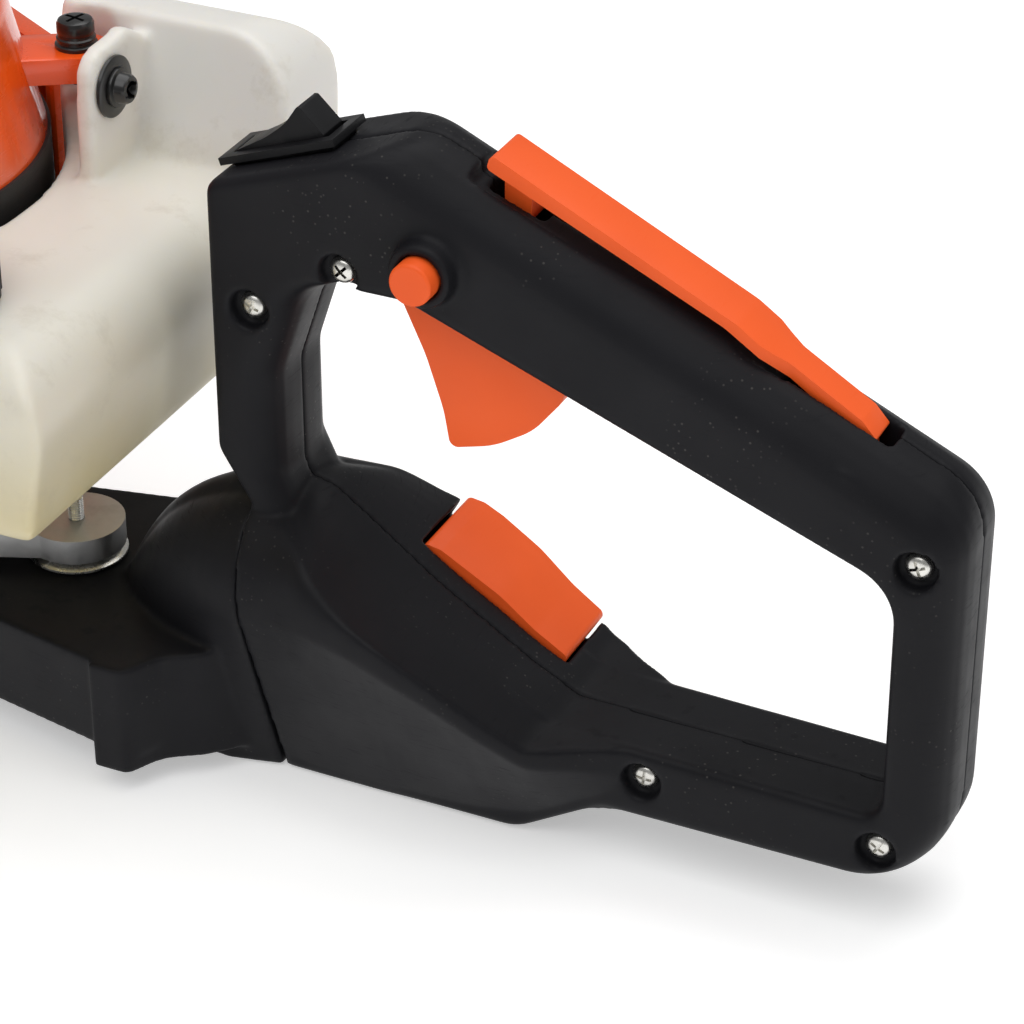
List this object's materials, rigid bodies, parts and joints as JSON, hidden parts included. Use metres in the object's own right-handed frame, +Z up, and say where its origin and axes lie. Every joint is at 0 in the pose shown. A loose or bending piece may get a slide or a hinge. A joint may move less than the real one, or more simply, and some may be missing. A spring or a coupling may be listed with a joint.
{
  "type": "petrol hedge trimmer",
  "caption": "Petrol hedge trimmer with a vertical-shaft engine, two-sided reciprocating blades, front loop handle and a swivelling rear D-handle with throttle controls.",
  "frame": {"origin": "on the flat underside of the gearcase cover, directly under the crankshaft axis", "axes": "+Z up along the crankshaft, +X towards the rear handle, blades along -X, +Y to the right-hand side seen from the operator"},
  "size_m": [1.1614, 0.2658, 0.2355],
  "materials": {
    "black_moulding": "fine satin grain",
    "orange_control": "satin",
    "switch_black": "satin",
    "orange_cover": "glossy",
    "dark_plastic": "satin",
    "tank_plastic": "milky, semi-matt",
    "zinc": "bright zinc plate",
    "cast_aluminium": "as cast",
    "machined_steel": "machined",
    "black_steel": "black",
    "rubber": "dull"
  },
  "bodies": {
    "chassis": {"rear_bracket": "black_moulding", "starter_housing": "orange_cover", "muffler_guard": "orange_cover", "cylinder_cover": "orange_cover", "fan_base": "dark_plastic", "air_filter_cover": "dark_plastic", "hand_guard": "dark_plastic", "fuel_tank": "tank_plastic", "mount_washer": "zinc", "mount_stud": "zinc", "buffer_studs": "zinc", "blade_bolts": "zinc", "blade_nuts": "zinc", "clamp_screws": "zinc", "gearcase_screws": "zinc", "gearcase": "cast_aluminium", "gearcase_cover": "cast_aluminium", "crankcase": "cast_aluminium", "cylinder": "cast_aluminium", "carburettor": "cast_aluminium", "handle_clamps": "cast_aluminium", "swivel_hub": "machined_steel", "gear_axle": "machined_steel", "drum_bearing": "machined_steel", "crank_bearings": "machined_steel", "ignition_coil": "machined_steel", "spark_plug": "machined_steel", "guide_bar": "machined_steel", "housing_screws": "black_steel", "tank_screw": "black_steel", "tank_washer": "black_steel", "muffler": "black_steel", "front_handle": "black_steel", "buffers": "rubber", "plug_cap": "rubber", "grip_sleeve": "rubber"},
    "rear_handle": {"handle_left_half": "black_moulding", "handle_right_half": "black_moulding", "handle_screws": "zinc", "switch_bezel": "switch_black", "trigger_pin": "machined_steel", "lever_pin": "machined_steel"},
    "trigger": {"throttle_trigger": "orange_control"},
    "lever": {"lockout_lever": "orange_control"},
    "hold_button": {"throttle_hold_button": "orange_control"},
    "release_lever": {"rotation_release_lever": "orange_control"},
    "rocker": {"switch_rocker": "switch_black"},
    "crank": {"crankshaft": "machined_steel", "clutch_shoes": "machined_steel", "flywheel": "cast_aluminium"},
    "drum": {"clutch_drum": "machined_steel"},
    "gear": {"drive_gear": "machined_steel"},
    "upper_cutter": {"upper_blade": "machined_steel"},
    "lower_cutter": {"lower_blade": "machined_steel"},
    "pulley": {"starter_pulley": "dark_plastic"},
    "pull_grip": {"starter_grip": "dark_plastic"},
    "cap": {"fuel_cap": "dark_plastic"},
    "choke": {"choke_lever": "dark_plastic"},
    "primer": {"primer_bulb": "rubber"}
  },
  "joints": [
    {"name": "handle_swivel", "type": "hinge", "parent": "chassis", "child": "rear_handle", "pos_m": [0.172, 0, 0.0465], "axis": [0.9955, 0, 0.0948], "range_deg": [-90, 90]},
    {"name": "trigger_pull", "type": "hinge", "parent": "rear_handle", "child": "trigger", "pos_m": [0.222, 0, 0.1725], "axis": [0, -1, 0], "range_deg": [0, 16], "stiffness_Nm_per_rad": 0.25, "springref_deg": -17.19},
    {"name": "lever_squeeze", "type": "hinge", "parent": "rear_handle", "child": "lever", "pos_m": [0.348, 0, 0.1405], "axis": [0, -1, 0], "range_deg": [0, 2.5], "stiffness_Nm_per_rad": 1, "springref_deg": -3.44},
    {"name": "hold_button_push", "type": "slide", "parent": "rear_handle", "child": "hold_button", "axis": [0, 1, 0], "range_m": [0, 0.003], "stiffness_N_per_m": 400, "springref_m": -0.002},
    {"name": "rotation_release", "type": "hinge", "parent": "rear_handle", "child": "release_lever", "pos_m": [0.25358, 0, 0.04155], "axis": [0, -1, 0], "range_deg": [0, 5], "stiffness_Nm_per_rad": 1, "springref_deg": -5.73},
    {"name": "stop_switch", "type": "hinge", "parent": "rear_handle", "child": "rocker", "pos_m": [0.1767, 0, 0.19975], "axis": [0, 1, 0], "range_deg": [0, 14]},
    {"name": "crank_spin", "type": "hinge", "parent": "chassis", "child": "crank", "pos_m": [0, 0, 0.097], "axis": [0, 0, 1], "continuous": true},
    {"name": "drum_spin", "type": "hinge", "parent": "chassis", "child": "drum", "pos_m": [0, 0, 0.05], "axis": [0, 0, 1], "continuous": true},
    {"name": "gear_spin", "type": "hinge", "parent": "chassis", "child": "gear", "pos_m": [-0.0375, 0, 0.03], "axis": [0, 0, 1], "continuous": true},
    {"name": "upper_blade_slide", "type": "slide", "parent": "chassis", "child": "upper_cutter", "axis": [1, 0, 0], "range_m": [-0.0075, 0.0075]},
    {"name": "lower_blade_slide", "type": "slide", "parent": "chassis", "child": "lower_cutter", "axis": [1, 0, 0], "range_m": [-0.0075, 0.0075]},
    {"name": "starter_pulley_spin", "type": "hinge", "parent": "chassis", "child": "pulley", "pos_m": [0, 0, 0.175], "axis": [0, 0, 1], "range_deg": [0, 1600], "stiffness_Nm_per_rad": 0.01, "springref_deg": -286.48},
    {"name": "starter_pull", "type": "slide", "parent": "chassis", "child": "pull_grip", "axis": [0, -1, 0], "range_m": [0, 0.68]},
    {"name": "cap_turn", "type": "hinge", "parent": "chassis", "child": "cap", "pos_m": [0.092, -0.06, 0.161], "axis": [0, 0, 1], "range_deg": [0, 270]},
    {"name": "choke_turn", "type": "hinge", "parent": "chassis", "child": "choke", "pos_m": [-0.042, -0.08, 0.104], "axis": [1, 0, 0], "range_deg": [0, 60]},
    {"name": "primer_push", "type": "slide", "parent": "chassis", "child": "primer", "axis": [-1, 0, 0], "range_m": [0, 0.004], "stiffness_N_per_m": 300, "springref_m": -0.001}
  ],
  "couplings": [
    {"joint": "gear_spin", "follows": "drum_spin", "ratio": -0.2766},
    {"joint": "lower_blade_slide", "follows": "upper_blade_slide", "ratio": -1},
    {"joint": "starter_pull", "follows": "starter_pulley_spin", "m_per_rad": 0.024}
  ]
}
